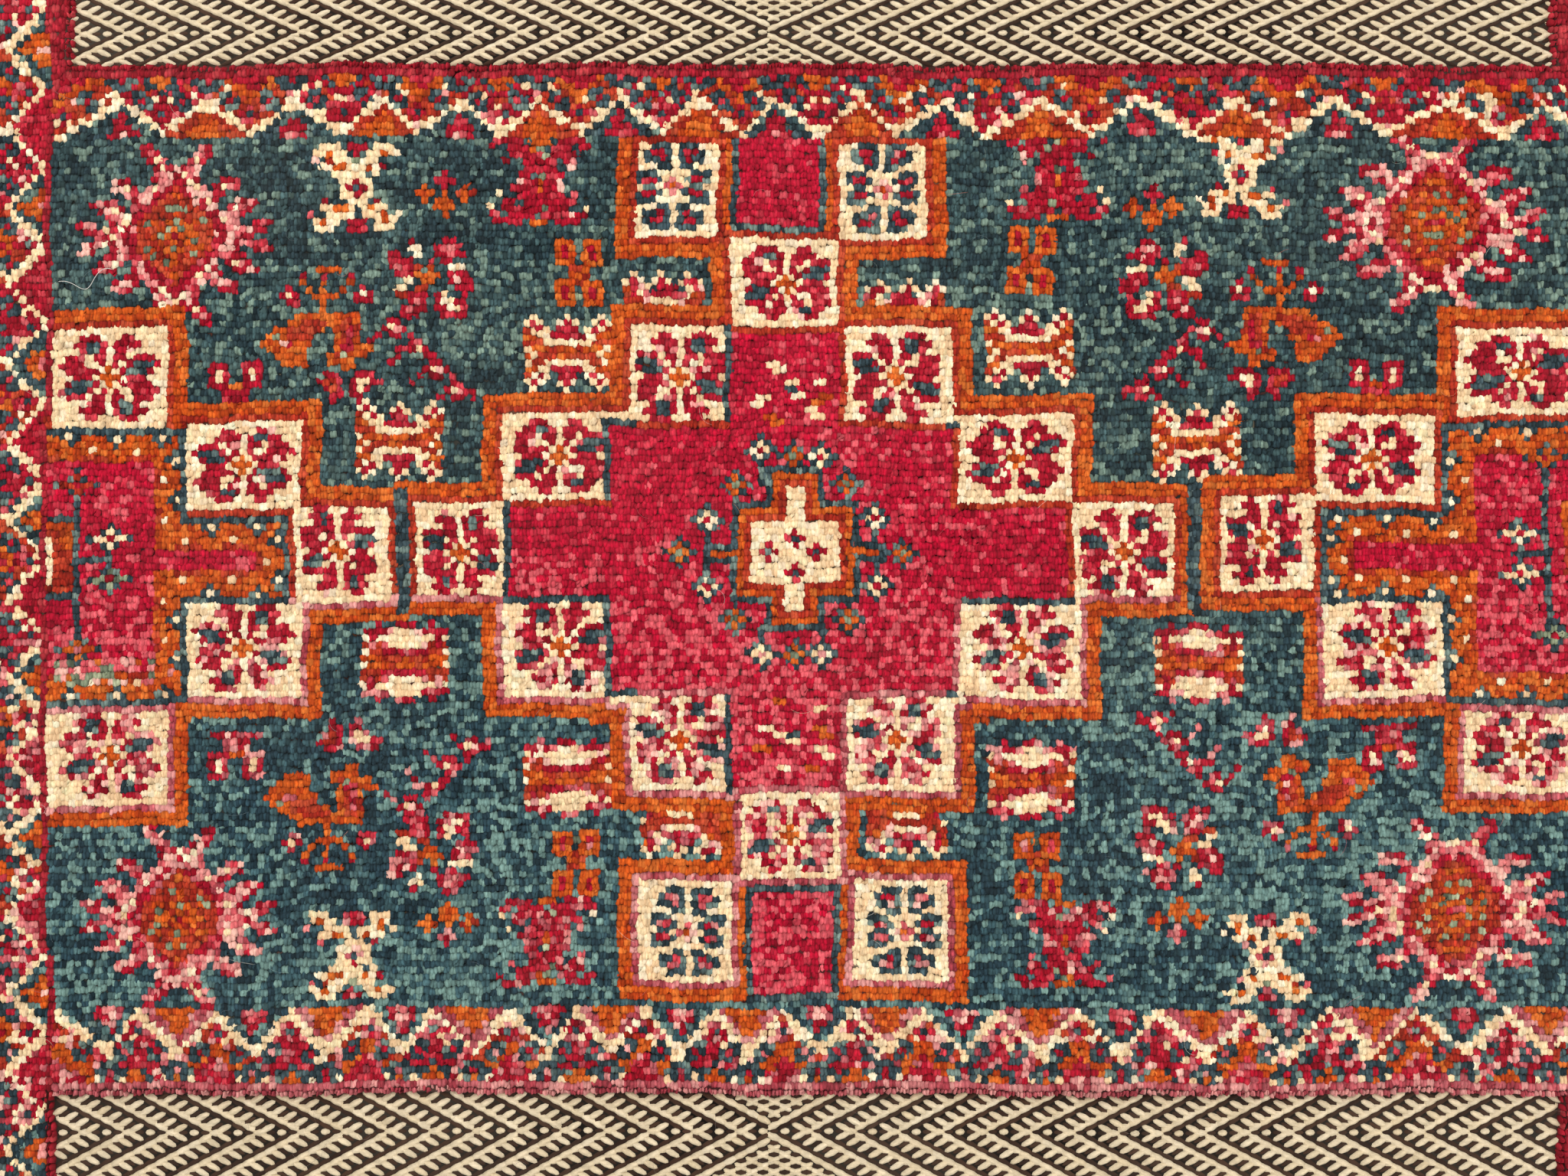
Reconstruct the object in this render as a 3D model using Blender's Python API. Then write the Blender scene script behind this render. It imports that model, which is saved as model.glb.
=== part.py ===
# Berber kilim rug, hand-woven in one piece: a knotted panel with a pile border on all sides,
# and a flat-woven band across each end between the side borders. It lies flat, face up.
# X runs across the loom, Y along the warps, +Z up. The origin is under the middle of the rug.

import math

import bmesh
import bpy
import numpy as np

# Driving dimensions, in metres. The knots are 4 mm apart each way.
KNOT = 0.004
RUG_WIDTH = 249 * KNOT
PANEL_LENGTH = 153 * KNOT
BAND_LENGTH = 23 * KNOT
BORDER_DEPTH = 11 * KNOT
PILE_HEIGHT = 0.009
WOVEN_HEIGHT = 0.0045

# How far each flat-woven band stops short of the rug's left and right edges
TOP_BAND_INSET_LEFT = 14 * KNOT
TOP_BAND_INSET_RIGHT = 15 * KNOT
BOTTOM_BAND_INSET_LEFT = 11 * KNOT
BOTTOM_BAND_INSET_RIGHT = 14 * KNOT

# Edges and unevenness
RIM_HEIGHT = 0.0035
RIM_ROUNDING = 0.006
BANK_WIDTH = 0.003
EDGE_WANDER = 0.0016
ROW_WANDER = 0.0014
SWELL = 0.00035

# Spacing of the surface's points away from edges and banks
POINT_SPACING = 0.042

HALF_WIDTH = RUG_WIDTH / 2
HALF_PANEL = PANEL_LENGTH / 2
HALF_LENGTH = HALF_PANEL + BAND_LENGTH + BORDER_DEPTH

# The sunken flat-woven bands: y from and to, x from and to
BANDS = (
    {
        "y_low": HALF_PANEL,
        "y_high": HALF_PANEL + BAND_LENGTH,
        "x_low": -HALF_WIDTH + TOP_BAND_INSET_LEFT,
        "x_high": HALF_WIDTH - TOP_BAND_INSET_RIGHT,
    },
    {
        "y_low": -HALF_PANEL - BAND_LENGTH,
        "y_high": -HALF_PANEL,
        "x_low": -HALF_WIDTH + BOTTOM_BAND_INSET_LEFT,
        "x_high": HALF_WIDTH - BOTTOM_BAND_INSET_RIGHT,
    },
)


def clear_scene():
    for existing in list(bpy.data.objects):
        bpy.data.objects.remove(existing, do_unlink=True)


def wander(along, amount, phase):
    """A slow, uneven drift, as hand weaving leaves in a line that was meant to be straight."""
    return amount * (
        0.55 * math.sin(9.0 * along + phase)
        + 0.30 * math.sin(23.0 * along + 2.1 * phase)
        + 0.15 * math.sin(47.0 * along + 0.7 * phase)
    )


def stations(half_span, banks):
    """Where the surface has points on one axis: close together at rims and banks, even between them."""
    rim_steps = (0.0, 0.12, 0.42, 1.0)
    fixed = [side * (half_span - RIM_ROUNDING * step) for side in (-1, 1) for step in rim_steps]
    for bank in banks:
        fixed += [bank - BANK_WIDTH / 2, bank + BANK_WIDTH / 2]
    fixed = sorted(fixed)
    places = [fixed[0]]
    for start, end in zip(fixed, fixed[1:]):
        pieces = max(1, round((end - start) / POINT_SPACING))
        places += [start + (end - start) * i / pieces for i in range(1, pieces + 1)]
    return places


def smooth_rise(distance, width):
    """0 below -width / 2, 1 above width / 2."""
    share = min(1.0, max(0.0, distance / width + 0.5))
    return share * share * (3.0 - 2.0 * share)


def sunken_share(x, y):
    """1 on a flat-woven band, 0 on the pile."""
    deepest = 0.0
    for band in BANDS:
        inside = min(x - band["x_low"], band["x_high"] - x, y - band["y_low"], band["y_high"] - y)
        deepest = max(deepest, smooth_rise(inside, BANK_WIDTH))
    return deepest


def surface_height(x, y):
    sunken = sunken_share(x, y)
    full = PILE_HEIGHT + (WOVEN_HEIGHT - PILE_HEIGHT) * sunken
    swell = math.sin(14.0 * x + 1.3) * math.cos(11.0 * y - 0.6) + 0.6 * math.sin(31.0 * x - 19.0 * y)
    full += SWELL * (1.0 - 0.6 * sunken) * swell
    inward = min(HALF_WIDTH - abs(x), HALF_LENGTH - abs(y))
    short = 1.0 - min(1.0, max(0.0, inward / RIM_ROUNDING))
    return RIM_HEIGHT + (full - RIM_HEIGHT) * math.sqrt(1.0 - short * short)


def footprint(x, y):
    """Moves a point of the exact rectangle to where the hand-woven rug has it."""
    lines_x = (-HALF_WIDTH, BANDS[0]["x_low"], BANDS[0]["x_high"], HALF_WIDTH)
    drift_x = [wander(y, EDGE_WANDER, 1.0 + 1.7 * i) for i in range(len(lines_x))]
    lines_y = (-HALF_LENGTH, BANDS[1]["y_low"], -HALF_PANEL, HALF_PANEL, BANDS[0]["y_high"], HALF_LENGTH)
    drift_y = [wander(x, ROW_WANDER, 0.4 + 1.3 * i) for i in range(len(lines_y))]
    return x + float(np.interp(x, lines_x, drift_x)), y + float(np.interp(y, lines_y, drift_y))


def rug_mesh():
    banks_x = sorted(band[side] for band in BANDS for side in ("x_low", "x_high"))
    banks_y = sorted(band[side] for band in BANDS for side in ("y_low", "y_high"))
    across = stations(HALF_WIDTH, banks_x)
    along = stations(HALF_LENGTH, banks_y)
    columns, rows = len(across), len(along)

    shaped = bmesh.new()
    face_up = []
    for y in along:
        line = []
        for x in across:
            lies_x, lies_y = footprint(x, y)
            line.append(shaped.verts.new((lies_x, lies_y, surface_height(x, y))))
        face_up.append(line)
    for j in range(rows - 1):
        for i in range(columns - 1):
            shaped.faces.new(
                (face_up[j][i], face_up[j][i + 1], face_up[j + 1][i + 1], face_up[j + 1][i])
            )

    rim = (
        face_up[0][:-1]
        + [line[-1] for line in face_up[:-1]]
        + face_up[-1][:0:-1]
        + [line[0] for line in face_up[:0:-1]]
    )
    foot = [shaped.verts.new((v.co.x, v.co.y, 0.0)) for v in rim]
    for i, top in enumerate(rim):
        after = (i + 1) % len(rim)
        shaped.faces.new((foot[i], foot[after], rim[after], top))
    shaped.faces.new(foot[::-1])

    low = [min(v.co[axis] for v in shaped.verts) for axis in (0, 1)]
    high = [max(v.co[axis] for v in shaped.verts) for axis in (0, 1)]
    middle = ((low[0] + high[0]) / 2, (low[1] + high[1]) / 2, 0.0)
    bmesh.ops.translate(shaped, verts=shaped.verts, vec=[-m for m in middle])

    mesh = bpy.data.meshes.new("rug")
    shaped.to_mesh(mesh)
    shaped.free()
    return mesh


def wool_material():
    wool = bpy.data.materials.new("wool")
    wool.use_nodes = True
    shader = wool.node_tree.nodes["Principled BSDF"]
    shader.inputs["Base Color"].default_value = (0.14, 0.10, 0.10, 1.0)
    shader.inputs["Roughness"].default_value = 0.95
    shader.inputs["Metallic"].default_value = 0.0
    return wool


def build_rug():
    rug = bpy.data.objects.new("rug", rug_mesh())
    bpy.context.scene.collection.objects.link(rug)
    rug.data.materials.append(wool_material())
    rug.data.shade_smooth()
    rug.data.set_sharp_from_angle(angle=math.radians(50))
    return rug


clear_scene()
build_rug()
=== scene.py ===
import math
import bpy
import numpy as np
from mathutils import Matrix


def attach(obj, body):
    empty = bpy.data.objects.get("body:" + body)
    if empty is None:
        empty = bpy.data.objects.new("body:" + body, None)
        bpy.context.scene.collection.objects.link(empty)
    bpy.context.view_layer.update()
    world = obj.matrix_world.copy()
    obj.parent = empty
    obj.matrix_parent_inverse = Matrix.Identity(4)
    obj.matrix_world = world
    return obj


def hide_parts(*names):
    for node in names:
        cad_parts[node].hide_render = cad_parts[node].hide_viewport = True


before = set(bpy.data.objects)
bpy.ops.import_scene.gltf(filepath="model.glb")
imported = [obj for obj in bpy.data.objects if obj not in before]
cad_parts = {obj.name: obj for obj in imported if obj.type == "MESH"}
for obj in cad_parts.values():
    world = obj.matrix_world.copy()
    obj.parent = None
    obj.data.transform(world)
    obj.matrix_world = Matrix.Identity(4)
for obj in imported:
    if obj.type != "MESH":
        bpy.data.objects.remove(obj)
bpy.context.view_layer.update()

# A hand-knotted berber rug with two flat-woven bands, laid flat. The pattern is a chart of knots drawn
# here, and each knot is a small tuft of wool. The sizes repeat those of the CAD part, in metres.

rug = {
    "knot": 0.004,
    "columns": 249,
    "rows": 221,
    "panelTop": 34,                     # first row of the big panel, counted from the upper end
    "panelEnd": 187,
    "topBand": (11, 34, 14, 234),       # first row, end row, first column, end column
    "bottomBand": (187, 210, 11, 235),
    "pileHeight": 0.009,
    "wovenHeight": 0.0045,
    "rimHeight": 0.0035,
    "rimRounding": 0.006,
    "bankWidth": 0.003,
    "edgeWander": 0.0016,
    "rowWander": 0.0014,
    "panelBow": 0.0030,                 # how far the panel's upper edge rises in the middle
    "swell": 0.00035,
    "wander": ((0.55, 9.0, 1.0), (0.30, 23.0, 2.1), (0.15, 47.0, 0.7)),     # share, waves, share of the phase
}
knot = rug["knot"]
halfWidth = rug["columns"] * knot / 2
halfLength = rug["rows"] * knot / 2
middleColumn = (rug["columns"] - 1) // 2
middleRow = (rug["rows"] - 1) // 2


# . teal field   t dark teal   g light green   c crimson   p pink   w cream   o orange   r rust
# m mauve   k crimson ground   d dark red line   b brown of the flat weave
knotChart = np.full((rug["rows"], rug["columns"]), ".", dtype="U1")
chartRandom = np.random.default_rng(27)


def toRow(panelRow):
    return int(round(panelRow)) + rug["panelTop"]


def boxMask(boxes):
    mask = np.zeros(knotChart.shape, dtype=bool)
    for left, right, top, bottom in [box[:4] for box in boxes]:
        mask[toRow(top):toRow(bottom), int(round(left)):int(round(right))] = True
    return mask


def grow(mask, steps):
    for _ in range(steps):
        wide = np.pad(mask, 1)
        mask = np.zeros_like(mask)
        for down in range(3):
            for across in range(3):
                mask |= wide[down:down + mask.shape[0], across:across + mask.shape[1]]
    return mask


def depthInside(mask, steps):
    depth = np.zeros(mask.shape, dtype=int)
    inside = mask.copy()
    for _ in range(steps):
        depth += inside
        inside = ~grow(~inside, 1)
    return depth


def paintKnot(row, column, yarn):
    if 0 <= row < knotChart.shape[0] and 0 <= column < knotChart.shape[1]:
        knotChart[row, column] = yarn


def paintMotif(lines, column, row, mirrored=False, upsideDown=False, swap=None):
    lines = lines[::-1] if upsideDown else lines
    firstRow = toRow(row - (len(lines) - 1) / 2)
    for down, line in enumerate(lines):
        line = line[::-1] if mirrored else line
        firstColumn = int(round(column - (len(line) - 1) / 2))
        for across, yarn in enumerate(line):
            if yarn != ".":
                paintKnot(firstRow + down, firstColumn + across, (swap or {}).get(yarn, yarn))


motifs = {
    "frog": [
        "..www.ccc.www..", ".wwoww.c.wwoww.", ".p.rwwwgwww....", "..wwoowwwowc...", "....wwwwwtw....",
        ".....wwcww.....", ".....wctcw.....", ".....wwcww.....", "..c...wwwtc....", "..wwoowtwoww...",
        "p..wwwwtwwwo.w.", ".woww.ccc.wow..", ".www..ccc.www.."],
    "fourDots": ["....c....", "...ccc...", ".o..c..o.", "ooo.o.ror", ".o.ooo.o.", "...ooo...", "....o...."],
    "hook": [
        ".cccc.ooo.cccc.", "c..cccog.ccc.cc", "...cccccgcccc..", "..c..ccccc.cp..", ".....ccccc..p..",
        "....cctgccc....", "....pccoccp....", "...ccccoccp....", ".w..ccccccc.p..", "..cc.cccccccc..",
        "w.ccccccgccc..w", "cp.cccc.ccccpcc", ".cccc.ooo.cccc."],
    "bird": [
        "........oooo.....", "......c..c...c...", "......o..o...o...", "....c..o.o..o..c.",
        "...cwc..oooo..cwc",
        "....cc...o....ccc", ".........o.......", ".....oooooooooo..", "....oorrrroorro..",
        "..oorrrrro.orcr..", ".ogorrrr...orcr..", "ooopcooo...orco..", ".oooooo....occooo",
        "..ooooo...orgooo.", "...oooo...oooo...", "............oo..."],
    "crossBlock": [
        "ooo.ooo", "oco.oco", "oco.oco", "ooo.ooo", "..rro..", "..oor..", "ooorooo", "oco.oco", "ocogoco",
        "ooo.ooo"],
    "totem": [
        ".w....w....w.", "wcw..wcw..wcw", "rwcw.ccc.wcwr", "oowwcccccwwoo", "rrrwwwwwwwrrr",
        "wooorooorooow", "owrrroorrrrwo", "wrrwwwwwwwrrw", "oowwcccccwwoo", "rwcw.ccc.wcwr",
        "wcw..wcw..wcw", ".w....w....w."],
    "paleTotem": [
        "..c..ccc..c..", "ccpcwwwwwcpcc", "wcwwwwwwwwwcw", "rcrpwwwwwprcr", "rrrcccccccrrr",
        "wooorooorooow", "ooorrrorrrooo", "wrrcccccccrrw", "rcrpwwwwwprcr", "wcwwwwwwwwwcw",
        "ccccpwwwpcccc", "..c..ccc..c.."],
    "smallTotem": [
        ".w...w...w..", "wcw.wcw.wccw", "ocpw.ccc.wcp", "rcwpccccpwor", "rrrpwwwwprrr", "wrrrrrrrrrrr",
        ".crowwwworrr"],
    "pair": ["ccc..ccc", "cwc..cwc", "cwc..cwc", "cccooccc", "..cccc..", "..cccc..", "cccccccc"],
    "budPair": [".ccc..ccc.", "crrc.cwwcc", ".crc.cwc..", "..cc.cc...", "..c...c..."],
    "pinkFlower": [
        "...c....cc...", "...ww..cppc..", "cc..w..ccpcc.", "cccc..c.cc...", "cpccr.o..www.",
        ".cccoooo.ccc.", "..ww.oo..cpcc", ".ww.rr....ccc", ".rrccc.cw..c.", "...cpc.cwwcc.",
        "..cpcc.ccwwc.", "..ccc...cccc."],
    "sprig": [
        "...cc...........", "..cwpc..........", ".c.cc.c.........", "c.....cp........", "....cccwc.......",
        "....c...cc......", "...c.....cc.....", "........cwpc....", ".......c.cc.c...", "......c.....cc..",
        "...........cwpcc", "..........c.cc.c"],
    "ringFlower": ["..t..", ".twt.", "twcwt", ".twt.", "..t.."],
    "wideFlower": ["...t...", "..twt..", "twwcwwt", "..twt..", "...t..."],
    "tinyPlus": [".c.", "ctc", ".c."],
}

starQuarter = [     # from the middle outwards, mirrored to both sides and up and down
    "cogorrccwwcc...", "ogogrrccwcwpcc.", "gorogrcwpc..cpc", "orrgrccwpcc....", "ggrrccp.cwpc...",
    "rrrccwc..ccpc..", "orccwpcc.......", "rccwp.cwpc.....", "ccwc...ccc.....", "cwpc...........",
    "wcwc...........", "..cwc..........", "...cpc.........", "....cc........."]


# how many crimson and cream knots turn pink, and green ones rust or orange
starTurns = {"c": 0.22, "w": 0.60, "g": 0.5}


def star(column, row, stretch):
    widest = len(starQuarter[0])
    reach = int(round(widest * stretch))
    for down, line in enumerate(starQuarter):
        for across in range(reach):
            yarn = line[min(int(across / stretch), widest - 1)]
            if yarn == ".":
                continue
            for sideways in (-1, 1):
                for upwards in (-1, 1):
                    turned = yarn
                    if yarn in starTurns and chartRandom.random() < starTurns[yarn]:
                        turned = "p" if yarn != "g" else "r" if across % 2 else "o"
                    paintKnot(toRow(row) + upwards * down, int(round(column)) + sideways * across, turned)


rosetteChart = [
    "...ccc...cc....", "..ccttc.cccc...", "...cttc.ccp....", ".ccc.cc.cc.ccc.", "cccc..c.c.ctttc",
    ".ccccc.o.ctttc.", "..ccc.ooo.ccc..", ".ctttc.o.ccccc.", "ctttc.c.c..cccc", ".ccc.cc.cc.ccc.",
    "....pcc.cttc...", "...cccc.cttcc..", "....cc...ccc..."]
tealRosetteChart = [
    "..ttt.ttt..", ".tcct.tcct.", ".ttct.tctt.", "...tt.tt...", "ttt.....ttt", "tcct.p.tcct", ".tt.pop.tt.",
    "tcct.p.tcct", "ttt.....ttt", "...tt.tt...", ".ttct.tctt.", ".tcct.tcct.", "..ttt.ttt.."]
keptLines = {       # which lines of a chart are worked when there is room for fewer or more of them
    (15, 11): [1, 2, 3, 5, 6, 7, 8, 9, 11, 12, 13], (15, 13): list(range(1, 14)), (15, 15): list(range(15)),
    (15, 17): [0, 1, 2, 2, 3, 4, 5, 6, 7, 8, 9, 10, 11, 12, 12, 13, 14],
    (13, 11): [0, 1, 3, 4, 5, 6, 7, 8, 9, 11, 12], (13, 13): list(range(13)), (11, 11): list(range(11)),
}


def oddRoom(size, spare):
    room = int(size - spare)
    return room if room % 2 else room - 1


def rosette(box, mirrored, teal=False):
    left, right, top, bottom = box
    chart = tealRosetteChart if teal else rosetteChart
    wide = max(11, min(oddRoom(right - left, 1.5), 11 if teal else 17))
    tall = max(11, min(oddRoom(bottom - top, 0.9), 13))
    columns = keptLines[(len(chart[0]), wide)]
    rows = keptLines[(13, tall)]
    if mirrored:
        columns = columns[::-1]
    firstRow = int(round((toRow(top) + toRow(bottom) - tall) / 2))
    firstColumn = int(round((int(round(left)) + int(round(right)) - wide) / 2))
    for down, row in enumerate(rows):
        for across, column in enumerate(columns):
            yarn = chart[row][column]
            if yarn == ".":
                continue
            if yarn == "c" and chartRandom.random() < lozenge["pinkShares"][top >= lozenge["mauveFrom"]]:
                yarn = "p"
            knotChart[firstRow + down, firstColumn + across] = yarn


lozenge = {     # squares are left and right column, first and end row of the big panel, and whether mirrored
    "creamSquares": [
        (112, 128, 26, 39, False), (97, 112, 39, 53, True), (129, 145, 39, 53, True), (78, 94, 52, 65, False),
        (146, 163, 52, 65, False), (65, 79, 65, 79, True), (163, 178, 65, 79, True), (78, 94, 79, 94, False),
        (146, 164, 79, 94, False), (97, 112, 94, 108, True), (129, 145, 94, 108, True),
        (113, 128, 108, 121, False)],
    "creamJoints": [(94, 98, 52, 54), (144, 147, 52, 54), (94, 98, 93, 95), (144, 147, 93, 95)],
    "tealSquares": [(98, 110, 11.5, 26), (128, 141, 11.5, 26), (98, 112, 121, 135.5), (130, 144, 121, 135.5)],
    "leftSquares": [(11, 28, 39, 53.6, False), (31, 48, 53, 66, True), (47, 61, 66, 80, False),
                    (31, 48, 80, 94, True), (10, 28, 95.5, 110, False)],
    "rightSquares": [
        (185, 199, 64, 78, True), (199, 217, 52, 65, True), (220, 239, 39, 52, False),
        (200, 218, 80, 94, True), (221, 239, 95.5, 108, False)],
    "cross": [(112, 128, 40, 54), (94, 145, 54, 92.6), (79, 162, 66, 78.6), (112, 128, 92.6, 107)],
    "redSquares": [(113, 125, 11, 24), (115, 127, 123, 138)],
    "leftCross": [(-20, 30, 55, 94), (30, 45, 68, 79)],
    "rightCross": [(219, 270, 54, 94), (201, 219, 67, 79)],
    "mauveFrom": 79,            # below this row the outline turns from rust to mauve
    "pinkShares": (0.05, 0.22), # how much of the rosettes' crimson is pink, above and below that row
}


def clipped(boxes):
    return [(max(box[0], 0), min(box[1], rug["columns"]), box[2], box[3]) for box in boxes]


def drawLozenges():
    middle = boxMask([box for part in ("creamSquares", "tealSquares", "cross", "creamJoints")
                      for box in lozenge[part]])
    left = boxMask(lozenge["leftSquares"] + clipped(lozenge["leftCross"]))
    right = boxMask(lozenge["rightSquares"] + clipped(lozenge["rightCross"]))
    lower = np.arange(rug["rows"])[:, None] >= toRow(lozenge["mauveFrom"])
    for mask in (middle, left, right):
        knotChart[grow(mask, 3)] = "o"
        inner = grow(mask, 1)
        knotChart[inner & ~lower] = "r"
        knotChart[inner & lower] = "m"
    for mask in (middle, left, right):
        knotChart[mask] = "w"
    for box in [(62.5, 64, 63, 82), (180.5, 182, 62, 81)]:      # teal lines between the lozenges
        knotChart[boxMask([box])] = "t"
    cross = boxMask(lozenge["cross"])
    knotChart[grow(cross, 1) & middle] = "t"
    knotChart[cross] = "k"
    for box in lozenge["redSquares"]:
        red = boxMask([box])
        knotChart[grow(red, 1)] = "t"
        knotChart[red] = "k"
    for box in lozenge["creamSquares"] + lozenge["leftSquares"] + lozenge["rightSquares"]:
        rosette(box[:4], mirrored=box[4])
    for box in lozenge["tealSquares"]:
        rosette(box, mirrored=False, teal=True)
    for boxes in (lozenge["leftCross"], lozenge["rightCross"]):
        drawHalfCross(clipped(boxes))


def fromEdge(mask, axis, steps):
    # how many knots a knot stands inside the mask, counted along one axis only
    depth = np.zeros(mask.shape, dtype=int)
    inside = mask.copy()
    for _ in range(steps):
        depth += inside
        before, after = np.roll(inside, 1, axis), np.roll(inside, -1, axis)
        inside = inside & before & after
    return depth


def drawHalfCross(boxes):
    mask = boxMask(boxes)
    onLeft = boxes[0][0] == 0
    pad = ((0, 0), (12, 0)) if onLeft else ((0, 0), (0, 12))
    wide = np.pad(mask, pad, mode="edge")
    part = slice(12, None) if onLeft else slice(0, -12)
    acrossDepth = fromEdge(wide, 1, 9)[:, part]
    downDepth = fromEdge(wide, 0, 9)[:, part]
    corner = depthInside(wide, 6)[:, part]
    knotChart[grow(mask, 1)] = "t"
    rows, columns = np.nonzero(mask)
    for row, column in zip(rows, columns):
        inward = corner[row, column]
        beside = acrossDepth[row, column] < downDepth[row, column]
        phase = (row - rug["panelTop"] - 58) % 6 if beside else (column - 13) % 7
        period = 6 if beside else 7
        notch = min(phase, period - phase)
        if inward == 1:
            yarn = "w" if notch == 0 else "t" if notch == 1 else "o"
        elif inward == 2:
            yarn = "t" if notch == 0 else "o"
        elif inward == 3:
            yarn = "w" if notch >= period // 2 and phase <= period // 2 else "o"
        elif inward == 4:
            yarn = "r" if notch >= 2 else "o"
        else:
            yarn = "k"
        knotChart[row, column] = yarn


centre = {
    "column": 120.6,
    "row": 72.1,
    "ring": [       # offsets of the little flowers round the middle, and whether each is cream or orange
        (-4.3, -14.7, "w"), (0, -14.5, "o"), (4.1, -14.5, "w"), (-9, -9.9, "o"), (8, -9.6, "o"),
        (-12.4, -4.8, "w"), (12, -5, "w"), (-16.2, 0, "o"), (16.2, 0, "o"), (-12.3, 4.8, "w"),
        (12.2, 4.8, "w"), (-8.4, 9.4, "o"), (8.4, 9.9, "o"), (-4.6, 15, "w"), (0, 15.2, "o"),
        (4.1, 15.2, "w")],
    "pluses": [(-3.4, 0), (3.4, 0), (0, -2.5), (0, 2.5)],
}


def drawCentre():
    column, row = centre["column"], centre["row"]
    body = boxMask([
        (column - 6, column + 7, row - 4.4, row + 4.6), (column - 1, column + 2, row - 8.6, row + 9)])
    knotChart[grow(body, 3)] = "t"
    arms = boxMask([(column - 12, column + 13, row, row + 1)])
    knotChart[grow(arms, 1)] = "t"
    knotChart[grow(body, 2)] = "o"
    knotChart[arms] = "o"
    knotChart[grow(body, 1)] = "r"
    knotChart[body] = "w"
    for across, down in centre["pluses"]:
        paintMotif(motifs["tinyPlus"], column + across, row + down)
    for across, down, yarn in centre["ring"]:
        swap = {"w": yarn} if yarn == "w" else {"w": "o", "c": "g"}
        paintMotif(motifs["ringFlower"], column + across, row + down, swap=swap)
    for across, down in [(-4.3, -11.5), (4.1, -11.5), (-4.6, 12), (4.1, 12)]:
        knotChart[boxMask([(column + across, column + across + 1, row + down - 1, row + down + 2)])] = "t"
    for across, down in [(-12.4, -2.3), (12, -2.3), (-12.4, 2.4), (12, 2.4), (-8.6, -7), (8.2, -7)]:
        knotChart[boxMask([(column + across, column + across + 1, row + down, row + down + 1)])] = "t"
    flecks = {
        "w": [(-3, 44), (-2, 45), (0, 47), (1, 49), (4, 47), (-4, 49), (-5, 50), (3, 51), (4, 52), (4, 95),
              (-4, 98), (-2, 99), (0, 100), (4, 101), (5, 102), (-1, 104)],
        "o": [(4, 50), (5, 49), (-3, 52), (-2, 53), (-2, 94), (4, 98), (5, 99), (-4, 101), (-5, 101),
              (3, 104)],
        "t": [(0, 48), (0, 99)]}
    for yarn, places in flecks.items():
        for across, down in places:
            knotChart[toRow(down), int(column) + across:int(column) + across + 2] = yarn


turnedBelow = 74        # motifs lower than this row of the big panel stand on their heads


def drawStems():
    knotChart[boxMask([(14, 15, 61, 85), (233, 234, 61, 83)])] = "t"
    for column, row, yarn in [
            (18.6, 70.2, "w"), (18.6, 76, "w"), (14, 61.5, "r"), (14, 86, "o"), (228.5, 69, "w"),
            (228.5, 75, "w"), (233, 58.5, "o"), (234, 84, "g")]:
        greener = yarn == "w" and column < middleColumn and row > turnedBelow
        swap = {"w": "g" if greener else yarn}
        paintMotif(motifs["wideFlower"], column, row, swap=swap)
    knotChart[boxMask([(14, 20, 73, 74), (228, 234, 72, 73)])] = "t"
    knotChart[boxMask([(10, 14, 68, 78), (236, 242, 65, 76)])] = "r"
    knotChart[boxMask([(12, 14, 68, 72), (10, 14, 68, 69), (236, 238, 65, 70), (236, 241, 65, 66)])] = "o"
    knotChart[boxMask([(10, 11, 70, 77), (239, 240, 68, 74)])] = "w"
    knotChart[boxMask([(8, 14, 67, 68), (10, 14, 78, 79)])] = "t"
    for row in range(toRow(88), toRow(92)):     # the mixed last rows of the left half cross
        for column in range(11, 29):
            draw = chartRandom.random()
            if knotChart[row, column] in "kro" and draw < 0.62:
                knotChart[row, column] = "g" if draw < 0.30 else "p" if draw < 0.50 else "o"


def drawField():
    for column, row, stretch in [(29, 25, 0.97), (216.4, 23, 1.14), (28.7, 126.5, 1.0), (219, 125.2, 1.12)]:
        star(column, row, stretch)
    places = {
        "frog": [(56, 18), (187, 16), (55, 132), (191.5, 132)],
        "fourDots": [(69, 19), (174, 21), (69, 127.5), (178, 126)],
        "hook": [(83, 16.6), (160, 16), (84, 130.5), (161, 130)],
        "crossBlock": [(89, 30), (156, 29), (88, 118), (156.5, 118)],
        "pinkFlower": [(67, 31.5), (176, 31), (67, 116.5), (178, 116)],
        "bird": [(49.5, 37), (194, 36.5), (49.5, 111.5), (199, 109)],
        "sprig": [(66, 43), (177, 44), (68, 105), (179, 102)],
        "pair": [(37, 47), (207.5, 47), (37.4, 102), (209.5, 101)],
        "budPair": [(54, 47.8), (190, 47), (54.6, 98.8), (192, 98)],
        "totem": [(62, 56), (181, 55), (87, 42.5), (156, 42)],
        "paleTotem": [(63, 88.5), (181, 88.5), (87, 106), (156, 105)],
        "smallTotem": [(102, 34), (137, 35), (103.5, 114), (138, 113.6)],
    }
    for name, spots in places.items():
        for column, row in spots:
            paintMotif(motifs[name], column, row, column > middleColumn, row > turnedBelow)


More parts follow.
